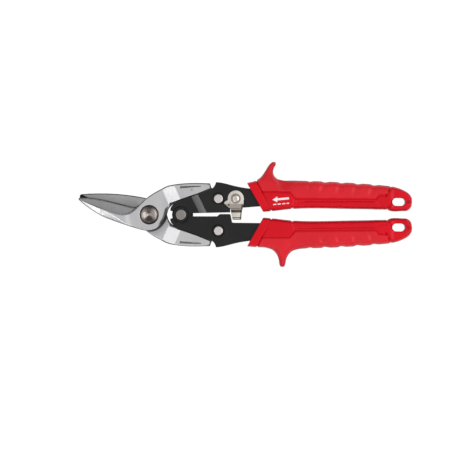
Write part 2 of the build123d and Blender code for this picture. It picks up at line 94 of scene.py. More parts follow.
def add_light(name, direction, distance, size, power):
    """A soft box facing the object. Size is its level width, then its other side."""
    data = bpy.data.lights.new(name, "AREA")
    data.shape = "RECTANGLE"
    data.size, data.size_y = size
    data.energy = power
    light = bpy.data.objects.new(name, data)
    direction = Vector(direction).normalized()
    light.location = Vector(LIGHT_TARGET) + direction * distance
    light.rotation_mode = "QUATERNION"
    light.rotation_quaternion = (-direction).to_track_quat("-Z", "Y")
    bpy.context.scene.collection.objects.link(light)


def add_world(low, high, far_side):
    """A white tent: dark towards the horizon, and a little darker beyond the upper handle."""
    world = bpy.data.worlds.new("studio")
    world.use_nodes = True
    tree = world.node_tree
    place = tree.nodes.new("ShaderNodeTexCoord").outputs["Generated"]    # a direction here
    axes = tree.nodes.new("ShaderNodeSeparateXYZ")
    tree.links.new(place, axes.inputs[0])
    values = []
    for axis, start, end, first, last in ((2, 0.12, 0.62, low, high), (1, 0.1, 0.8, 1, far_side)):
        ramp = tree.nodes.new("ShaderNodeMapRange")
        ramp.interpolation_type = "SMOOTHSTEP"
        tree.links.new(axes.outputs[axis], ramp.inputs[0])
        for i, value in enumerate((start, end, first, last)):
            ramp.inputs[i + 1].default_value = value
        values.append(ramp.outputs[0])
    product = tree.nodes.new("ShaderNodeMath")
    product.operation = "MULTIPLY"
    tree.links.new(values[0], product.inputs[0])
    tree.links.new(values[1], product.inputs[1])
    tree.links.new(product.outputs[0], tree.nodes["Background"].inputs["Strength"])
    tree.nodes["Background"].inputs["Color"].default_value = (1, 1, 1, 1)
    bpy.context.scene.world = world
    bpy.context.scene.view_settings.view_transform = "Standard"


# ---------------------------------------------------------------- materials

class Nodes:
    """Short calls for building one material's node tree."""

    def __init__(self, name):
        self.mat = bpy.data.materials.new(name)
        self.mat.use_nodes = True
        self.tree = self.mat.node_tree
        self.shader = self.tree.nodes["Principled BSDF"]
        self.place = self.tree.nodes.new("ShaderNodeTexCoord").outputs["Object"]

    def node(self, kind, inputs, output=0, **settings):
        n = self.tree.nodes.new("ShaderNode" + kind)
        for key, value in settings.items():
            setattr(n, key, value)
        for key, value in inputs.items():
            self.put(n.inputs[key], value)
        return n.outputs[output]

    def put(self, socket, value):
        if isinstance(value, bpy.types.NodeSocket):
            self.tree.links.new(value, socket)
        else:
            socket.default_value = value

    def math(self, operation, a, b=0.0, c=0.0):
        return self.node("Math", {0: a, 1: b, 2: c}, operation=operation)

    def xyz(self):
        n = self.tree.nodes.new("ShaderNodeSeparateXYZ")
        self.tree.links.new(self.place, n.inputs[0])
        return n.outputs[0], n.outputs[1], n.outputs[2]

    def noise(self, scale, detail=3.0, roughness=0.5, stretch=(1, 1, 1), turn=0.0):
        place = self.place
        if stretch != (1, 1, 1) or turn:
            place = self.node("Mapping", {0: place, 2: (0, 0, turn), 3: stretch})
        return self.node("TexNoise", {
            "Vector": place, "Scale": scale, "Detail": detail, "Roughness": roughness})

    def ramp(self, value, low, high, to_low=0.0, to_high=1.0):
        return self.node("MapRange", {
            0: value, 1: low, 2: high, 3: to_low, 4: to_high}, interpolation_type="SMOOTHSTEP")

    def mix(self, factor, a, b):
        n = self.tree.nodes.new("ShaderNodeMix")
        n.data_type = "RGBA"
        self.put(n.inputs[0], factor)
        self.put(n.inputs[6], a)
        self.put(n.inputs[7], b)
        return n.outputs[2]

    def bump(self, height, depth, strength=1.0, under=None):
        inputs = {"Strength": strength, "Distance": depth, "Height": height}
        if under is not None:
            inputs["Normal"] = under
        return self.node("Bump", inputs)

    def finish(self, **sockets):
        for key, value in sockets.items():
            self.put(self.shader.inputs[key.replace("_", " ")], value)
        return self.mat


def grey(value):
    return (value, value, value, 1)


def tint(rgb, k=1.0):
    return (rgb[0] * k, rgb[1] * k, rgb[2] * k, 1)


def steel(name, colour, rough):
    """Satin metal: fine grain, slow mottling and a little soil in the colour."""
    n = Nodes(name)
    slow = n.noise(90, 4)
    fine = n.noise(900, 3, 0.6)
    colour_out = n.mix(n.ramp(slow, 0.3, 0.7), tint(colour, 0.88), tint(colour))
    roughness = n.math("MULTIPLY_ADD", fine, 0.16, rough - 0.08)
    return n.finish(
        Base_Color=colour_out, Metallic=1.0, Roughness=roughness,
        Normal=n.bump(fine, 0.02 * MM, 0.6))


def jaw_steel(name):
    """Forged and blasted steel. The ground faces are darker, smoother and lined. Each vertex says
    which it is (finish) and how much painted shade lies on it (shade). Finish also paints shade in
    the slit and round the bolt's head, and makes the tip's nick nearly black."""
    n = Nodes(name)
    finish = n.node("Attribute", {}, 2, attribute_name="finish")
    ground = n.ramp(finish, 0.3, 0.7)
    blast = n.noise(1400, 2, 0.6)
    slow = n.noise(60, 4)
    lines = n.noise(260, 3, 0.6, stretch=(1, 14, 6), turn=0.35)
    forged = n.mix(n.ramp(slow, 0.3, 0.7), tint((0.66, 0.655, 0.67)), tint((0.74, 0.735, 0.75)))
    steel_grey = n.mix(n.ramp(lines, 0.35, 0.65), grey(0.47), grey(0.54))
    shade = n.node("Attribute", {}, 2, attribute_name="shade")
    # painted shade: the mesh's shade value darkens the steel towards near black
    colour = n.mix(shade, n.mix(ground, forged, steel_grey), grey(0.03))
    # painted shade in the slit (1.6) and round the bolt's head (1.8); the tip's nick (2) goes
    # nearly black
    colour = n.mix(n.ramp(finish, 1.3, 1.9), colour, grey(0.02))
    rough = n.node("Mix", {0: ground, 2: n.math("MULTIPLY_ADD", blast, 0.08, 0.26),
                           3: n.math("MULTIPLY_ADD", lines, 0.06, 0.22)})
    height = n.node("Mix", {0: ground, 2: blast, 3: n.math("MULTIPLY", lines, 0.15)})
    return n.finish(
        Base_Color=colour, Metallic=1.0, Roughness=rough,
        Normal=n.bump(height, 0.01 * MM, 0.4))


def radius_from(n, centre):
    """Distance from an upright axis, and how far past it in X. The lower half is folded up."""
    x, y, _ = n.xyz()
    x = n.math("SUBTRACT", x, centre[0] * MM)
    y = n.math("SUBTRACT", n.math("ABSOLUTE", y), centre[1] * MM)
    return n.math("SQRT", n.math("ADD", n.math("MULTIPLY", x, x), n.math("MULTIPLY", y, y))), x


def turned_steel(name, colour, rough):
    """Steel faced in a lathe: its marks run in circles round the axis. Painted shade darkens two
    sectors, above and below the axis.
    """
    n = Nodes(name)
    slow = n.noise(260, 4)
    _, y, _ = n.xyz()
    radius, _ = radius_from(n, (0, 0))
    # painted shade: darker above and below the axis
    sine = n.math("DIVIDE", y, n.math("ADD", radius, 0.01 * MM))
    shaded_sectors = n.math("MULTIPLY_ADD", n.math("MULTIPLY", sine, sine), 2.0,
                    n.math("MULTIPLY", sine, -0.3))
    shaded_sectors = n.math("MULTIPLY", n.ramp(shaded_sectors, 0.4, 1.9), n.ramp(radius, 0.3 * MM, 1.4 * MM))
    clean = n.mix(n.ramp(slow, 0.3, 0.7), tint(colour, 1.0), tint(colour, 1.45))
    colour_out = n.mix(shaded_sectors, clean, tint(colour, 0.33))
    tangent_out = n.node("Tangent", {}, direction_type="RADIAL", axis="Z")
    return n.finish(
        Base_Color=colour_out, Metallic=1.0, Roughness=n.math("MULTIPLY_ADD", slow, 0.1, rough),
        Anisotropic=0.85, Anisotropic_Rotation=0.25, Tangent=tangent_out)


# The latch's bends: Y and half the width of the painted shade in each, in mm, and how dark it is.
LATCH_BENDS = ((4.1, 1.3, 0.45), (2.7, 1.4, 1.0), (-2.2, 0.5, 0.6), (-3.6, 0.4, 0.8))
STEM_EDGE_X, STEM_EDGE_SLOPE = 70.44, 0.125


def latch_nickel(name):
    """Bright nickel on the head and the foot, with a painted highlight right of the rivet. The
    stem is painted darker as shade, and more painted shade lies in the bends, round the rivet and
    along one edge.
    """
    n = Nodes(name)
    x, y, _ = n.xyz()
    # the stem, painted darker as shade
    stem = n.math("MULTIPLY", n.ramp(y, 1.8 * MM, 3.6 * MM), n.ramp(y, 8.7 * MM, 7.9 * MM))
    # painted shade: in the ring round the rivet, in the bends and along one edge
    radius, side = radius_from(n, LATCH_PIVOT)
    painted_latch_shade = n.math("MULTIPLY", n.ramp(radius, 2.4 * MM, 2.9 * MM),
                  n.ramp(radius, 4.1 * MM, 3.5 * MM, 0, 0.6))
    for middle, half, depth in LATCH_BENDS:
        off = n.math("ABSOLUTE", n.math("SUBTRACT", y, middle * MM))
        painted_latch_shade = n.math("MAXIMUM", painted_latch_shade, n.ramp(off, half * MM, half * 0.5 * MM, 0, depth))
    edge = n.math("SUBTRACT", n.math("MULTIPLY_ADD", y, -STEM_EDGE_SLOPE, x), STEM_EDGE_X * MM)
    edge = n.math("MULTIPLY", n.ramp(edge, -1.5 * MM, -0.9 * MM, 0, 0.85),
                  n.ramp(y, 8.5 * MM, 7.0 * MM))
    painted_latch_shade = n.math("MAXIMUM", painted_latch_shade, edge)
    slow = n.noise(260, 3)
    fine = n.noise(900, 3, 0.6)
    nickel_and_highlight = n.mix(n.ramp(slow, 0.3, 0.7), tint((0.80, 0.73, 0.67)), tint((0.88, 0.81, 0.74)))
    # painted highlight: lighter right of the rivet
    nickel_and_highlight = n.mix(n.ramp(side, -2 * MM, 3 * MM), nickel_and_highlight, tint((0.99, 0.92, 0.85)))
    shaded_stem_nickel = n.mix(n.ramp(slow, 0.3, 0.7), tint((0.49, 0.43, 0.38)), tint((0.53, 0.47, 0.42)))
    return n.finish(
        Base_Color=n.mix(painted_latch_shade, n.mix(stem, nickel_and_highlight, shaded_stem_nickel), tint((0.045, 0.035, 0.025))),
        Metallic=1.0, Roughness=n.math("MULTIPLY_ADD", fine, 0.10, 0.24),
        Normal=n.bump(fine, 0.01 * MM, 0.3))


def black_sheet(name):
    """Black coated sheet, with a painted highlight on the joggle's slope and a low ridge pressed
    round each rivet.
    """
    n = Nodes(name)
    peel = n.noise(700, 2)
    slow = n.noise(80, 3)
    x, y, _ = n.xyz()
    # painted highlight on the joggle's sloped band
    along = n.math("ADD", n.math("MULTIPLY", x, JOGGLE_NORMAL[0]),
                   n.math("MULTIPLY", y, JOGGLE_NORMAL[1]))
    joggle_highlight = n.math("MULTIPLY", n.ramp(along, 35.2 * MM, 39.2 * MM),
                    n.ramp(along, 40.2 * MM, 39.8 * MM))
    joggle_highlight = n.math("MULTIPLY", joggle_highlight, n.ramp(y, 0.0, 0.5 * MM))
    colour = n.mix(n.ramp(slow, 0.35, 0.7),
                   tint((0.005, 0.005, 0.006)), tint((0.008, 0.008, 0.009)))
    colour = n.mix(joggle_highlight, colour, tint((0.056, 0.056, 0.058)))
    ridge = 0.0
    for centre, ridge_radius in ((LINK_RIVET, 4.6), (HANDLE_PIVOT, 6.0)):
        radius, _ = radius_from(n, centre)
        off = n.math("ABSOLUTE", n.math("SUBTRACT", radius, ridge_radius * MM))
        ridge = n.math("MAXIMUM", ridge, n.ramp(off, 0.5 * MM, 0.0))
    return n.finish(
        Base_Color=colour, Metallic=0.0, Roughness=n.math("MULTIPLY_ADD", peel, 0.12, 0.19),
        Specular_IOR_Level=0.38,
        Normal=n.bump(ridge, 0.5 * MM, 1.0, n.bump(peel, 0.03 * MM, 0.4)))


def red_plastic(name, colour, rough, texture, depth):
    """Moulded plastic with a fine texture, and painted shade where the mesh says so."""
    n = Nodes(name)
    fine = n.noise(texture, 2, 0.6)
    slow = n.noise(45, 3)
    clean = n.mix(n.ramp(slow, 0.3, 0.7), tint(colour, 0.93), tint(colour, 1.03))
    # painted shade, read from the mesh
    dark = n.node("Attribute", {}, 2, attribute_name="dark")
    return n.finish(
        Base_Color=n.mix(dark, clean, tint((0.16, 0.0, 0.002))),
        Roughness=n.math("MULTIPLY_ADD", fine, 0.2, rough - 0.1),
        Specular_IOR_Level=0.13, Normal=n.bump(fine, depth, 0.6))


EDGE_ROUND = 0.12


def paint(node, material):
    """A CAD node's material, with its sharp edges broken by a small round."""
    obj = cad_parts[node]
    obj.data.materials.clear()
    obj.data.materials.append(material)
    weld = obj.modifiers.new("weld", "WELD")
    weld.merge_threshold = 1e-6
    bevel = obj.modifiers.new("edges", "BEVEL")
    bevel.width = EDGE_ROUND * MM
    bevel.segments = 2
    bevel.limit_method = "ANGLE"
    bevel.angle_limit = math.radians(32)
    bevel.harden_normals = True


# ---------------------------------------------------------------- shapes from fields

def smoothstep(low, high, value):
    t = np.clip((value - low) / (high - low), 0, 1)
    return t * t * (3 - 2 * t)


def tangent(a, b, c):
    """The curve's direction at b, on its way from a to c."""
    before, after = np.linalg.norm(b - a), np.linalg.norm(c - b)
    if before == 0 or after == 0:
        return (c - a) / (before + after)
    return ((b - a) * after / before + (c - b) * before / after) / (before + after)


def through(points, cuts=4):
    """A closed smooth curve through the points, with a corner where a point is given twice."""
    p = [np.array(q, float) for q in points]
    curve = []
    for i, b in enumerate(p):
        a, c, d = p[i - 1], p[(i + 1) % len(p)], p[(i + 2) % len(p)]
        span = np.linalg.norm(c - b)
        if span == 0:
            continue
        start, end = tangent(a, b, c) * span, tangent(b, c, d) * span
        for t in np.arange(cuts) / cuts:
            u = 1 - t
            curve.append(u * u * (1 + 2 * t) * b + t * u * u * start
                         + t * t * (1 + 2 * u) * c - t * t * u * end)
    return np.array(curve)


def line_distance(x, y, points):
    """Distance to an open polyline."""
    best = np.full(x.shape, 1e9, np.float32)
    for (ax, ay), (bx, by) in zip(points[:-1], points[1:]):
        dx, dy = bx - ax, by - ay
        if dx == dy == 0:
            continue
        t = np.clip(((x - ax) * dx + (y - ay) * dy) / (dx * dx + dy * dy), 0, 1)
        best = np.minimum(best, np.hypot(x - ax - t * dx, y - ay - t * dy))
    return best


def inside_distance(x, y, outline):
    """Distance to a closed outline, positive inside."""
    closed = list(outline) + [outline[0]]
    inside = np.zeros(x.shape, bool)
    for (ax, ay), (bx, by) in zip(closed[:-1], closed[1:]):
        if ay != by:
            inside ^= ((ay > y) != (by > y)) & (x < (bx - ax) * (y - ay) / (by - ay) + ax)
    return np.where(inside, 1, -1) * line_distance(x, y, closed)


def smooth_max(a, b, k):
    """The larger of two, rounded over k mm where they are nearly the same."""
    h = np.clip(0.5 + 0.5 * (a - b) / k, 0, 1)
    return b * (1 - h) + a * h + k * h * (1 - h)


def chamfered(face, side, size):
    """Two surfaces' meeting with its edge cut off, size mm back along the face."""
    cut = (face + 0.8 * (side + size)) / 1.28
    return smooth_max(np.maximum(face, side), cut, 0.12)


def mesh_field(name, plan, solid, box, voxel=0.4):
    """The surface where solid(plan(x, y), w) is zero, inside the box, as a mesh in metres.
    Each vertex is then moved on to the true surface."""
    low, high = np.array(box[0], float), np.array(box[1], float)
    count = np.ceil((high - low) / voxel).astype(int) + 1
    xs, ys, ws = (low[i] + voxel * np.arange(count[i]) for i in range(3))
    x, y = np.meshgrid(xs, ys, indexing="ij")
    layers = [solid(plan(x, y), np.full(x.shape, w)) for w in ws]
    values = np.clip(np.stack(layers, axis=2), -2, 2).astype(np.float32)
    grid = vdb.FloatGrid(2.0)
    grid.copyFromArray(np.ascontiguousarray(values))
    points, _, quads = grid.convertToPolygons(isovalue=0.0, adaptivity=0.0)
    points = points.astype(float) * voxel + low
    for _ in range(3):
        points += newton_step(plan, solid, points)
    return mesh_from(name, points, quads[:, ::-1].tolist())


def newton_step(plan, solid, points, h=0.02, limit=0.15):
    """How far each point moves to come closer to the true surface, at most limit mm."""
    x, y, w = points.T
    here = plan(x, y)
    f = solid(here, w)
    gradient = np.stack([
        (solid(plan(x + h, y), w) - f) / h,
        (solid(plan(x, y + h), w) - f) / h,
        (solid(here, w + h) - f) / h], axis=1)
    size = np.maximum((gradient ** 2).sum(axis=1), 0.05)
    step = -f[:, None] * gradient / size[:, None]
    length = np.linalg.norm(step, axis=1, keepdims=True)
    return step * np.minimum(1, limit / np.maximum(length, 1e-9))


def mesh_from(name, points, faces, smooth=True):
    """A mesh object from points in mm about the mid-plane."""
    points = (np.asarray(points, float) + (0, 0, MID)) * MM
    mesh = bpy.data.meshes.new(name)
    mesh.from_pydata(points.tolist(), [], faces)
    mesh.validate()
    if smooth:
        mesh.polygons.foreach_set("use_smooth", [True] * len(mesh.polygons))
    obj = bpy.data.objects.new(name, mesh)
    bpy.context.scene.collection.objects.link(obj)
    return obj


def points_of(obj):
    """A mesh's vertices, in mm about the mid-plane."""
    return np.array([v.co for v in obj.data.vertices]) / MM - (0, 0, MID)


def set_values(obj, name, values):
    """One number for each vertex, which a material reads by its name."""
    data = obj.data.attributes.new(name, "FLOAT", "POINT")
    data.data.foreach_set("value", values.astype(np.float32))


# ---------------------------------------------------------------- grips

# Outlines, in mm, from the collar's outer corner round the end and back. They run on
# ahead of the collar, whose slanted face is cut afterwards.
GRIP_TAIL = [
    (140.0, 25.1), (160.0, 23.9), (176.0, 22.6), (187.3, 21.0), (193.1, 18.9), (197.8, 15.9),
    (199.8, 12.8), (200.0, 9.2), (199.0, 5.2), (196.5, 3.1), (192.0, 2.7), (184.0, 2.7),
    (181.0, 3.6), (173.6, 3.9), (150.0, 4.4), (129.9, 4.8), (120.6, 4.8), (108.5, 4.3),
    (92.7, 2.6), (86.3, 2.1), (66.0, 0.8), (66.0, 0.8)]
HOOK_OUTLINE = [
    (66.0, 22.0), (66.0, 22.0), (74.8, 24.4), (80.6, 25.9), (82.3, 26.8), (85.0, 28.9),
    (87.0, 31.5), (88.9, 34.5), (90.6, 37.2), (92.5, 39.4), (94.6, 40.4), (96.2, 39.7),
    (96.3, 38.2), (95.0, 35.8), (94.3, 32.6), (95.1, 29.7), (97.1, 27.6), (100.2, 26.5),
    (110.0, 26.1), (122.0, 25.8)] + GRIP_TAIL
PEG_OUTLINE = [
    (66.0, 23.2), (66.0, 23.2), (74.6, 24.2), (81.7, 24.8), (89.5, 25.3), (94.4, 27.3),
    (97.4, 31.1), (98.6, 34.9), (99.1, 38.0), (99.8, 39.4), (101.3, 39.8), (102.8, 39.4),
    (103.5, 37.8), (104.2, 34.2), (105.7, 30.9), (108.3, 28.1), (112.7, 26.4),
    (118.0, 25.8), (124.0, 25.6)] + GRIP_TAIL
OUTER_EDGE = ((66, 81, 105, 122, 140, 160, 176, 187, 200),
              (22.5, 25.5, 26.0, 25.8, 25.1, 23.8, 22.5, 20.7, 16.4))
FACE_POINT = (74.2, 24.4)     # on the collar's slanted face
FACE_NORMAL = (20.8 / math.hypot(20.8, 11.7), 11.7 / math.hypot(20.8, 11.7))
COLLAR_LENGTH = 6.4
COLLAR_GROOVE = ((80.7, 28.0), (82.1, 24.5), (92.6, 3.5), (93.4, 2.0))
PARTING_GROOVE = ((86.0, 17.5), (106.6, 17.4), (111.0, 12.3), (172.3, 11.9), (174.2, 14.6),
                  (180.0, 14.6))
PANEL_END = ((111.0, 12.3), (109.6, 8.6), (108.8, 4.0))
RAIL_GROOVE = ((112.4, 10.0), (171.4, 10.0), (174.9, 7.4), (180.2, 7.2))
EYE_GROOVES = (((180.6, 3.0), (184.9, 10.4)), ((180.0, 14.2), (183.9, 21.8)))
PAD_ZONE = ((60, 60), (60, 30), (81.0, 30.0), (83.0, 21.4), (85.2, 17.5), (106.6, 17.5),
            (111.0, 12.3), (172.3, 11.9), (174.2, 14.8), (181.6, 15.8), (183.4, 30.0),
            (183.4, 60))
RIB_PITCH, RIB_START, RIB_SLANT = 12.4, 130.6, 0.34


def vee(x, y, line, half_width, depth):
    """The depth of a groove along a line."""
    return depth * smoothstep(0, 1, 1 - line_distance(x, y, line) / half_width)


def hump(x, y, centre, spread):
    """1 at the centre, fading out over the spread in X and Y."""
    return np.exp(-((x - centre[0]) / spread[0]) ** 2 - ((y - centre[1]) / spread[1]) ** 2)


def grip_plan(outline, hook):
    """Returns the plan function of a grip: everything that doesn't change with the level."""
    outline = through(outline)

    def plan(x, y):
        edge = np.interp(x, *OUTER_EDGE) - y           # distance in from the outer edge
        phase = (x + RIB_SLANT * np.maximum(edge, 0) - RIB_START) / RIB_PITCH
        part = phase - np.floor(phase)
        # each rib: level, a quick drop, then a slower rise to the next
        dip = np.where(part < 0.25, part / 0.25, np.clip((0.62 - part) / 0.37, 0, 1))
        dip = smoothstep(0, 1, dip) * smoothstep(119, 123, x) * (1 - smoothstep(176, 178, x))
        d = inside_distance(x, y, outline)
        groove = vee(x, y, COLLAR_GROOVE, 1.0, 1.0)
        eye = sum(vee(x, y, line, 1.25, 1.1) for line in EYE_GROOVES)
        d = d - 0.8 * groove - 0.5 * eye - 0.7 * hump(x, y, (108.8, 4.6), (0.9, 1.4))
        d -= 0.75 * dip * smoothstep(9, 2, edge)
        height = np.full(x.shape, 8.35)
        height -= 0.75 * dip * smoothstep(11.0, 5.0, edge)
        # the panel and the inner rail are a little lower than the pad
        inner = inside_distance(x, y, PAD_ZONE)
        height -= 0.45 * smoothstep(0.6, -0.6, inner)
        # distance behind the slanted face
        face = (x - FACE_POINT[0]) * FACE_NORMAL[0] + (y - FACE_POINT[1]) * FACE_NORMAL[1]
        height = np.where(face < COLLAR_LENGTH, 8.45, height)
        height -= 0.6 * smoothstep(183.0, 186.5, x)    # the eye
        # the horn
        height -= 3.0 * smoothstep(23.0, 35.0, y)
        if hook:
            across = (x - 95.6) * 0.82 + (y - 24.2) * 0.57
            reach = hump(x, y, (98.5, 24.0), (5.0, 5.0))
            height += 0.7 * reach * smoothstep(-3.4, -1.4, across)
            height -= 0.36 * reach * np.clip(across + 1.4, 0, 1.6)
            height -= 3.4 * hump(x, y, (101.4, 23.4), (5.6, 4.8)) * smoothstep(-0.2, 2.6, across)
        else:
            for foot in (91.6, 111.6):
                height -= 1.9 * hump(x, y, (foot, 25.0), (6.0, 4.6))
        height -= vee(x, y, PARTING_GROOVE, 1.35, 0.75)
        height -= vee(x, y, PANEL_END, 0.9, 0.3)
        height -= vee(x, y, RAIL_GROOVE, 1.0, 0.5)
        height -= 0.8 * hump(x, y, (197.4, 10.0), (2.6, 0.9))
        height -= groove + eye
        # edge rounding: wide on the palm side, with each rib's facet wider towards its crest
        palm = smoothstep(12.0, 15.5, y) * smoothstep(92, 100, x) * (1 - smoothstep(182, 186, x))
        radius = 3.4 + palm * 2.6
        radius = np.where(face < COLLAR_LENGTH, 2.6, radius)
        radius -= 0.9 * smoothstep(27.0, 33.0, y) + 0.6 * smoothstep(183, 187, x)
        # painted shade along the outline, in the end's notch and round the hang hole
        grip_painted_shade = 0.50 * smoothstep(1.4, 0.3, d)
        grip_painted_shade += 0.50 * hump(x, y, (196.9, 9.7), (2.4, 1.0))
        past = np.maximum(np.abs(x - HANG_HOLE[0]) - HOLE_HALF, 0)
        hole = np.hypot(past, y - HANG_HOLE[1]) - HOLE_R
        grip_painted_shade += 0.35 * smoothstep(0.9, 0.3, hole)
        return {"d": d, "height": np.minimum(height, 8.5), "radius": radius,
                "face": face, "hole": hole, "zone": inner, "dark": np.minimum(grip_painted_shade, 0.7)}

    return plan


def grip_solid(keep):
    """The grip's field, cut to the pad's zone (keep > 0) or to the rest (keep < 0)."""
    def solid(p, w):
        over = np.maximum(1 - p["d"] / p["radius"], 0)
        thick = np.abs(w) / p["height"]
        power = 2.5
        f = ((over ** power + thick ** power) ** (1 / power) - 1) * 5.0
        f = smooth_max(f, -p["face"], 0.5)
        f = smooth_max(f, -p["hole"], 0.8)
        collar = p["face"] < COLLAR_LENGTH + 0.5
        zone = np.where(collar, -1.0, p["zone"])
        return np.maximum(f, -keep * zone)

    return solid


def make_grip(side, outline, hook):
    """Core and pad of the upper grip (side 1), or mirrored, of the lower one (side -1)."""
    plan = grip_plan(outline, hook)
    prefix = "upper" if side > 0 else "lower"
    box = ((72, 0.8, -9), (202, 42, 9))
    for part, keep in (("grip", -1), ("grip_pad", 1)):
        obj = mesh_field(f"{prefix}_{part}_moulding", plan, grip_solid(keep), box)
        x, y, _ = points_of(obj).T
        # the painted shade, for the material
        set_values(obj, "dark", plan(x, y)["dark"])
        if side < 0:
            for v in obj.data.vertices:
                v.co.y = -v.co.y
            obj.data.flip_normals()
        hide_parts(f"{prefix}_{part}")
        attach(obj, f"{prefix}_handle")
        obj.data.materials.append(red_core if part == "grip" else red_pad)


# ---------------------------------------------------------------- jaws

ARM = [(-2.3, 12.4), (2.1, 15.6), (8.5, 19.2), (13.8, 21.9), (19.5, 23.1), (30.8, 24.1),
       (46.2, 23.9), (46.2, 23.9), (47.8, 20.0), (51.5, 18.7), (56.2, 17.8), (58.8, 14.6),
       (59.0, 10.6), (56.6, 7.0), (52.6, 5.6), (46.0, 5.8), (38.0, 7.0), (30.0, 8.6),
       (24.0, 9.5), (19.5, 8.4), (16.8, 6.9), (15.0, 4.8), (13.8, 1.5), (12.8, -2.2),
       (9.4, -7.7), (5.2, -11.0), (-0.3, -12.2)]
FRONT = {
    "outline": [(-10.5, -10.2), (-17.8, -7.9), (-29.5, -3.8), (-37.2, -0.7), (-44.6, 3.9),
                (-51.8, 9.3), (-54.1, 11.9), (-54.1, 11.9), (-53.4, 13.0), (-53.4, 13.0),
                (-46.9, 13.1), (-40.6, 12.3), (-34.3, 11.2), (-27.5, 9.6), (-20.7, 8.0),
                (-13.9, 6.1), (-11.0, 5.8), (-8.1, 7.4)],
    "ground": [(-56.0, 12.4), (-56.0, 12.4), (-51.8, 10.8), (-40.0, 5.8), (-29.5, 2.0),
               (-24.0, 0.4), (-19.0, 0.2), (-14.5, 1.9), (-11.0, 4.8), (-2.3, 12.4),
               (-2.3, 12.4), (-8.0, 20.0), (-8.0, 20.0), (-60.0, 20.0), (-60.0, 20.0)],
    "edge": ((-53.4, 13.0), (-46.9, 13.1), (-40.6, 12.3), (-34.3, 11.2), (-27.5, 9.6),
             (-13.9, 6.1), (-11.0, 5.8)),
    "back": ((-60.0, 15.3), (-51.8, 9.3), (-44.6, 3.9), (-37.2, -0.7), (-29.5, -3.8),
             (-17.8, -7.9), (-10.5, -10.2)),
    "bevel": 1.2, "fade": (-38.0, -8.0), "tip": None, "pit": 1.0}
REAR = {                      # turned over, so that it lies as the front jaw does
    "outline": [(-8.1, -13.8), (-22.7, -15.7), (-39.7, -16.3), (-52.5, -15.8),
                (-52.5, -15.8), (-53.5, -13.2), (-53.5, -13.2), (-53.0, -12.6),
                (-53.0, -12.6), (-46.0, -11.2), (-34.0, -8.2), (-22.0, -4.4),
                (-12.2, -0.6), (-11.2, 5.2), (-8.1, 8.0)],
    "ground": [(-60.0, -14.2), (-60.0, -14.2), (-40.0, -12.6), (-30.0, -12.2),
               (-22.0, -11.4), (-15.5, -8.0), (-12.4, -3.0), (-11.6, 3.0), (-11.6, 8.0),
               (-11.6, 8.0), (-60.0, 8.0), (-60.0, 8.0)],
    "edge": ((-53.0, -12.6), (-46.0, -11.2), (-34.0, -8.2), (-22.0, -4.4), (-12.2, -0.6)),
    "back": ((-60.0, -15.4), (-52.5, -15.8), (-39.7, -16.3), (-22.7, -15.7), (-8.1, -13.8)),
    "bevel": 1.6, "fade": (-26.0, -12.0),
    "tip": [(-55.0, -17.0), (-52.6, -16.4), (-45.6, -12.5), (-55.0, -12.8)], "pit": 0.0}
POCKET = [(15.4, 8.6), (21.0, 10.6), (26.9, 12.6), (36.7, 16.0), (45.8, 19.8), (47.0, 21.6),
          (62.0, 24.0), (62.0, 0.0), (20.0, 0.0), (15.4, 5.0)]
RAMP_X, RAMP_Y, RAMP_START, RAMP_END = 0.913, 0.408, 16.6, 26.7
JAW_TOP = 6.2
SLIT = ((23.6, 20.95), (39.3, 21.75))
PIT = (32.2, 19.0)
BOLT_HOLE_R, COUNTERBORE_R, COUNTERBORE_FLOOR = 4.05, 7.15, 5.2


def ramp_share(x, y):
    """0 before the sloped step in the arm, 1 after it."""
    return (x * RAMP_X + y * RAMP_Y - RAMP_START) / (RAMP_END - RAMP_START)


def jaw_plan(blade):
    """Returns the plan function of a jaw: everything that doesn't change with the level."""
    outline = through(blade["outline"] + ARM, 3)
    ground = through(blade["ground"], 3)

    def plan(x, y):
        t = np.clip(ramp_share(x, y), 0, 1)
        top, bottom = JAW_TOP - 2.3 * t, 0.05 - 3.95 * t
        taper = -0.976 * x + 0.217 * np.abs(y)
        drop = 1.0 * smoothstep(13.0, 20.5, taper) + 0.075 * np.maximum(taper - 23, 0)
        top = np.minimum(top, JAW_TOP - drop)
        fade = np.clip((x - blade["fade"][0]) / (blade["fade"][1] - blade["fade"][0]), 0, 1)
        edge_size = 0.8 + 0.9 * smoothstep(4, 10, x) * smoothstep(3, -1, y)
        # the tapered slit and the pit in the arm
        share = np.clip((x - 23.4) / 16.0, 0, 1)
        slit = line_distance(x, y, SLIT) / (0.62 - 0.4 * share)
        slit = 1.2 * smoothstep(1.25, 0.8, slit)
        pit = blade["pit"] * smoothstep(1.1, 0.4, np.hypot((x - PIT[0]) / 1.4, y - PIT[1]))
        slit += 0.15 * pit
        edge = line_distance(x, y, blade["edge"])
        back = line_distance(x, y, blade["back"])
        if blade["tip"]:
            bottom += 0.5 * smoothstep(0.0, 0.3, inside_distance(x, y, blade["tip"]))
        return {
            "d": inside_distance(x, y, outline), "top": top - slit, "bottom": bottom + slit,
            "ground": inside_distance(x, y, ground), "pocket": inside_distance(x, y, POCKET),
            "hollow": 1.2 + 0.24 * edge + 0.012 * edge ** 2,
            "bevel": blade["bevel"] + 0.62 * back + 6 * fade ** 1.4,
            "keen": smoothstep(0.8, 2.6, edge), "edge_size": edge_size, "slit": slit, "pit": pit,
            "bolt": np.hypot(x, y),
            "rivet": np.hypot(x - LINK_RIVET[0], y - LINK_RIVET[1])}

    return plan


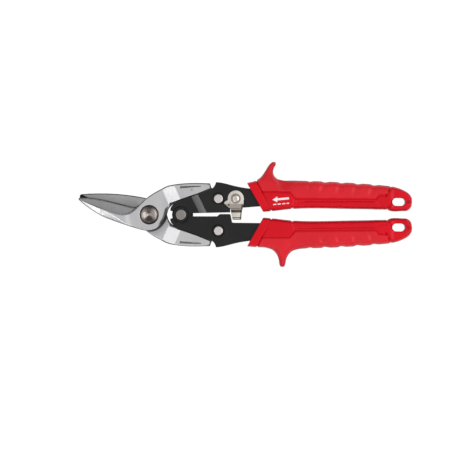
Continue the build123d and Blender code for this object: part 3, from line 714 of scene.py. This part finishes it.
def jaw_solid(rivet_hole):
    """The jaw's field, with a link rivet's hole of that radius."""
    def solid(p, w):
        upper = smooth_max(w - p["top"], w - p["bevel"], 0.3)
        wall = -(p["ground"] + 0.3 * (w - p["hollow"])) / 1.04
        upper = smooth_max(upper, -smooth_max(wall, p["hollow"] - w, 0.8), 0.2)
        f = chamfered(upper, -p["d"], p["edge_size"] + 0.3 * (1 - p["keen"]))
        f = chamfered(p["bottom"] - w, f, 0.8 * p["keen"])
        f = smooth_max(f, -np.maximum(-p["pocket"], 2.5 - np.abs(w)), 0.2)
        f = smooth_max(f, BOLT_HOLE_R - p["bolt"], 0.2)
        f = smooth_max(f, -np.maximum(p["bolt"] - COUNTERBORE_R, COUNTERBORE_FLOOR - w), 0.3)
        return smooth_max(f, rivet_hole - p["rivet"], 0.2)

    return solid


def jaw_shade(blade, x, y, here):
    """Painted shade: along every edge, in the pocket and the pit, and where the other jaw lies
    close.
    """
    level = y if blade is FRONT else -y              # as the closed snips lie
    d, recess = here["d"], here["pocket"]
    # painted shade along every edge, wider at the arm's end
    line = d - 0.5 * smoothstep(43.5, 45.5, x)
    shade = 0.85 * smoothstep(0.85, 0.40, line)
    # painted shade in a band along the pocket's wall, where the handle's plate meets the arm
    shade = np.maximum(shade, 0.9 * smoothstep(-0.45, -0.1, recess) * smoothstep(1.5, 1.0, recess))
    # painted shade in the pit
    shade = np.maximum(shade, 0.4 * here["pit"])
    cut = line_distance(x, level, FRONT["edge"])
    if blade is FRONT:
        # painted shade on the boss's side that faces the handles
        crotch = smoothstep(4, 9, x) * smoothstep(16, 14, x)
        crotch *= smoothstep(-12, -6, level) * smoothstep(9.5, 4, level)
        wide = 0.6 + 1.9 * crotch
        shade = np.maximum(shade, 0.9 * crotch * smoothstep(wide + 0.3, wide - 0.3, d))
        # painted shade: the ground face a little darker all over
        shade = np.maximum(shade, 0.08 * smoothstep(0, 0.5, here["ground"]))
        # painted shade along the cutting edge, for the dark line between the blades
        return np.maximum(shade, 0.85 * smoothstep(1.0, 0.4, cut))
    # painted shadow of the front jaw's boss on the rear arm
    over = inside_distance(x, level, through(FRONT["outline"] + ARM, 3))
    near = 0.27 * smoothstep(-8, -1, over) + 0.71 * smoothstep(-1.3, -0.3, over)
    near *= smoothstep(-4, 0, x)
    # painted shade on the arm's sloped step
    ramp = ramp_share(x, y)
    near = np.maximum(near, 0.15 * ((ramp > 0) & (ramp < 1)))
    # painted shade on the blade: towards the front blade's edge, with a darker line along it, and
    # towards the boss
    blade_shade = 0.24 * smoothstep(7.0, 0.5, cut) + 0.22 * smoothstep(0.8, 0.2, cut)
    blade_shade = blade_shade + 0.10 * smoothstep(-24, -14, x)
    return np.maximum(shade, np.maximum(near, blade_shade * smoothstep(-6, -10, x)))


def make_jaw(name, blade, rivet_hole):
    """A jaw as the front one lies. The rear jaw is then turned over."""
    plan = jaw_plan(blade)
    box = ((-55, -17.5, -4.6), (60, 25.5, 6.9))
    obj = mesh_field(name + "_forging", plan, jaw_solid(rivet_hole), box, voxel=0.36)
    points = points_of(obj)
    x, y, w = points.T
    here = plan(x, y)
    # 0 as forged, 1 ground, 1.6 in the slit and 1.8 round the bolt's head (painted shade in both),
    # 2 in the tip's nick (nearly black)
    hollow = (np.abs(w - here["hollow"]) < 0.4) & (here["ground"] > -0.3)
    flat = (np.abs(w) < 0.8) & (x < np.where(y < -4, 2, -9))
    finish = np.where(hollow | flat, 1.0, np.where(here["slit"] > 0.2, 1.6, 0.0))
    # painted shade in the gap between the bolt's head and its counterbore
    counterbore = (here["bolt"] < COUNTERBORE_R - 0.05) & (w > 4.8) & (w < 5.9)
    finish = np.where(counterbore, 1.8, finish)
    if blade["tip"]:
        nick = inside_distance(x, y, blade["tip"]) > 0
        finish = np.where(nick & (w < 1.0), 2.0, finish)
    set_values(obj, "finish", finish)
    set_values(obj, "shade", jaw_shade(blade, x, y, here))
    if blade is REAR:
        turned = (points * (1, -1, -1) + (0, 0, MID)) * MM
        obj.data.vertices.foreach_set("co", turned.astype(np.float32).ravel())
        obj.data.update()
    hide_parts(name)
    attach(obj, name)
    obj.data.materials.append(jaw_mat)


# ---------------------------------------------------------------- mark and spring

# A printed arrow towards the blades with a dashed cut line under it, in mm.
ARROW = [(93.6, 11.9), (97.4, 14.1), (97.4, 12.7), (106.2, 12.7), (106.2, 11.1), (97.4, 11.1),
         (97.4, 9.7)]
DASHES = [(94.2, 96.6), (97.6, 100.0), (101.0, 103.4), (104.4, 106.2)]
DASH_TOP, DASH_FOOT = 8.6, 7.8
MARK_LEAN = 0.09              # how much it climbs for each mm of X, about X = 100
INK_LEVELS = (7.70, 7.98)     # its under and upper face


def make_mark():
    """Ink on the upper grip's panel: each shape is a thin plate just proud of it."""
    shapes = [ARROW] + [
        [(a, DASH_TOP), (b, DASH_TOP), (b, DASH_FOOT), (a, DASH_FOOT)] for a, b in DASHES]
    points, faces = [], []
    for shape in shapes:
        turned = [(x, y + MARK_LEAN * (x - 100)) for x, y in shape]
        n, start = len(turned), len(points)
        for level in INK_LEVELS:
            points += [(x, y, level) for x, y in turned]
        faces.append([start + i for i in range(n)])
        faces.append([start + n + i for i in reversed(range(n))])
        faces += [[start + (i + 1) % n, start + i, start + n + i, start + n + (i + 1) % n]
                  for i in range(n)]
    obj = mesh_from("cut_mark", points, faces, smooth=False)
    n = Nodes("white_ink")
    worn = n.noise(900, 3, 0.7)
    obj.data.materials.append(n.finish(
        Base_Color=n.mix(n.ramp(worn, 0.3, 0.6), tint((0.86, 0.62, 0.63)), grey(0.90)),
        Roughness=n.math("MULTIPLY_ADD", worn, 0.2, 0.4)))
    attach(obj, "upper_handle")


def make_spring():
    """The coil and both legs as one wire, between the handles."""
    turns, pitch, radius, wire = 2.5, 1.38, 6.05, 0.65
    leg_x, leg_y, steps = 46.0, 3.7, 40
    rise = turns * pitch
    path = [(leg_x, leg_y, -rise / 2)]
    for i in range(int(turns * steps) + 1):
        a = math.pi / 2 + 2 * math.pi * i / steps
        path.append((HANDLE_PIVOT[0] + radius * math.cos(a), radius * math.sin(a),
                     -rise / 2 + pitch * i / steps))
    path.append((leg_x, -leg_y, rise / 2))
    sides, points, faces = 14, [], []
    for i, here in enumerate(path):
        before, after = path[max(i - 1, 0)], path[min(i + 1, len(path) - 1)]
        along = (Vector(after) - Vector(before)).normalized()
        across = along.cross(Vector((0, 0, 1))).normalized()
        up = across.cross(along)
        for k in range(sides):
            a = 2 * math.pi * k / sides
            points.append(Vector(here) + wire * (math.cos(a) * across + math.sin(a) * up))
    for i in range(len(path) - 1):
        for k in range(sides):
            a, b = i * sides + k, i * sides + (k + 1) % sides
            faces.append([a, b, b + sides, a + sides])
    last = (len(path) - 1) * sides
    faces += [list(reversed(range(sides))), [last + k for k in range(sides)]]
    obj = mesh_from("spring_wire", points, faces)
    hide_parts("torsion_spring")
    obj.data.materials.append(spring_mat)
    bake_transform(obj)


# ---------------------------------------------------------------- making

add_camera()
add_floor()
add_world(low=0.05, high=0.66, far_side=0.75)
add_light("left", (-0.86, 0.0, 1.0), 1.6, (1.5, 0.40), 2.6)
add_light("right", (0.80, 0.1, 1.0), 1.6, (1.7, 0.45), 11.5)
add_light("front", (-0.35, -1.0, 0.60), 1.6, (1.4, 0.4), 4.0)

red_core = red_plastic("red_core", (0.69, 0.006, 0.0165), 0.32, texture=1500, depth=0.02 * MM)
red_pad = red_plastic("red_pad", (0.725, 0.020, 0.032), 0.34, texture=2200, depth=0.03 * MM)
jaw_mat = jaw_steel("jaw_steel")
make_jaw("front_jaw", FRONT, rivet_hole=2.95)
make_jaw("rear_jaw", REAR, rivet_hole=3.22)
sheet_mat = black_sheet("handle_sheet")
for node in ("upper_handle_channel", "lower_handle_channel"):
    paint(node, sheet_mat)
for slot, nodes, colour, rough in (
        ("pivot_steel", ("pivot_washer", "pivot_spring_washer", "pivot_nut"),
         (0.46, 0.42, 0.40), 0.18),
        ("link_rivet_steel", ("upper_link_rivet", "lower_link_rivet"), (0.80, 0.76, 0.75), 0.34),
        ("handle_rivet_steel", ("handle_pivot_rivet",), (0.36, 0.33, 0.31), 0.36),
        ("sleeve_steel", ("spring_sleeve",), (0.30, 0.30, 0.31), 0.34)):
    material = steel(slot, colour, rough)
    for node in nodes:
        paint(node, material)

paint("pivot_bolt", turned_steel("bolt_steel", (0.32, 0.285, 0.265), 0.30))
spring_mat = steel("spring_steel", (0.22, 0.22, 0.23), 0.24)
nickel = latch_nickel("latch_nickel")
for node in ("latch_plate", "latch_washer", "latch_backing_washer"):
    paint(node, nickel)
paint("latch_rivet", steel("latch_rivet_nickel", (0.80, 0.74, 0.69), 0.36))
make_mark()
make_spring()
make_grip(1, HOOK_OUTLINE, hook=True)
make_grip(-1, PEG_OUTLINE, hook=False)
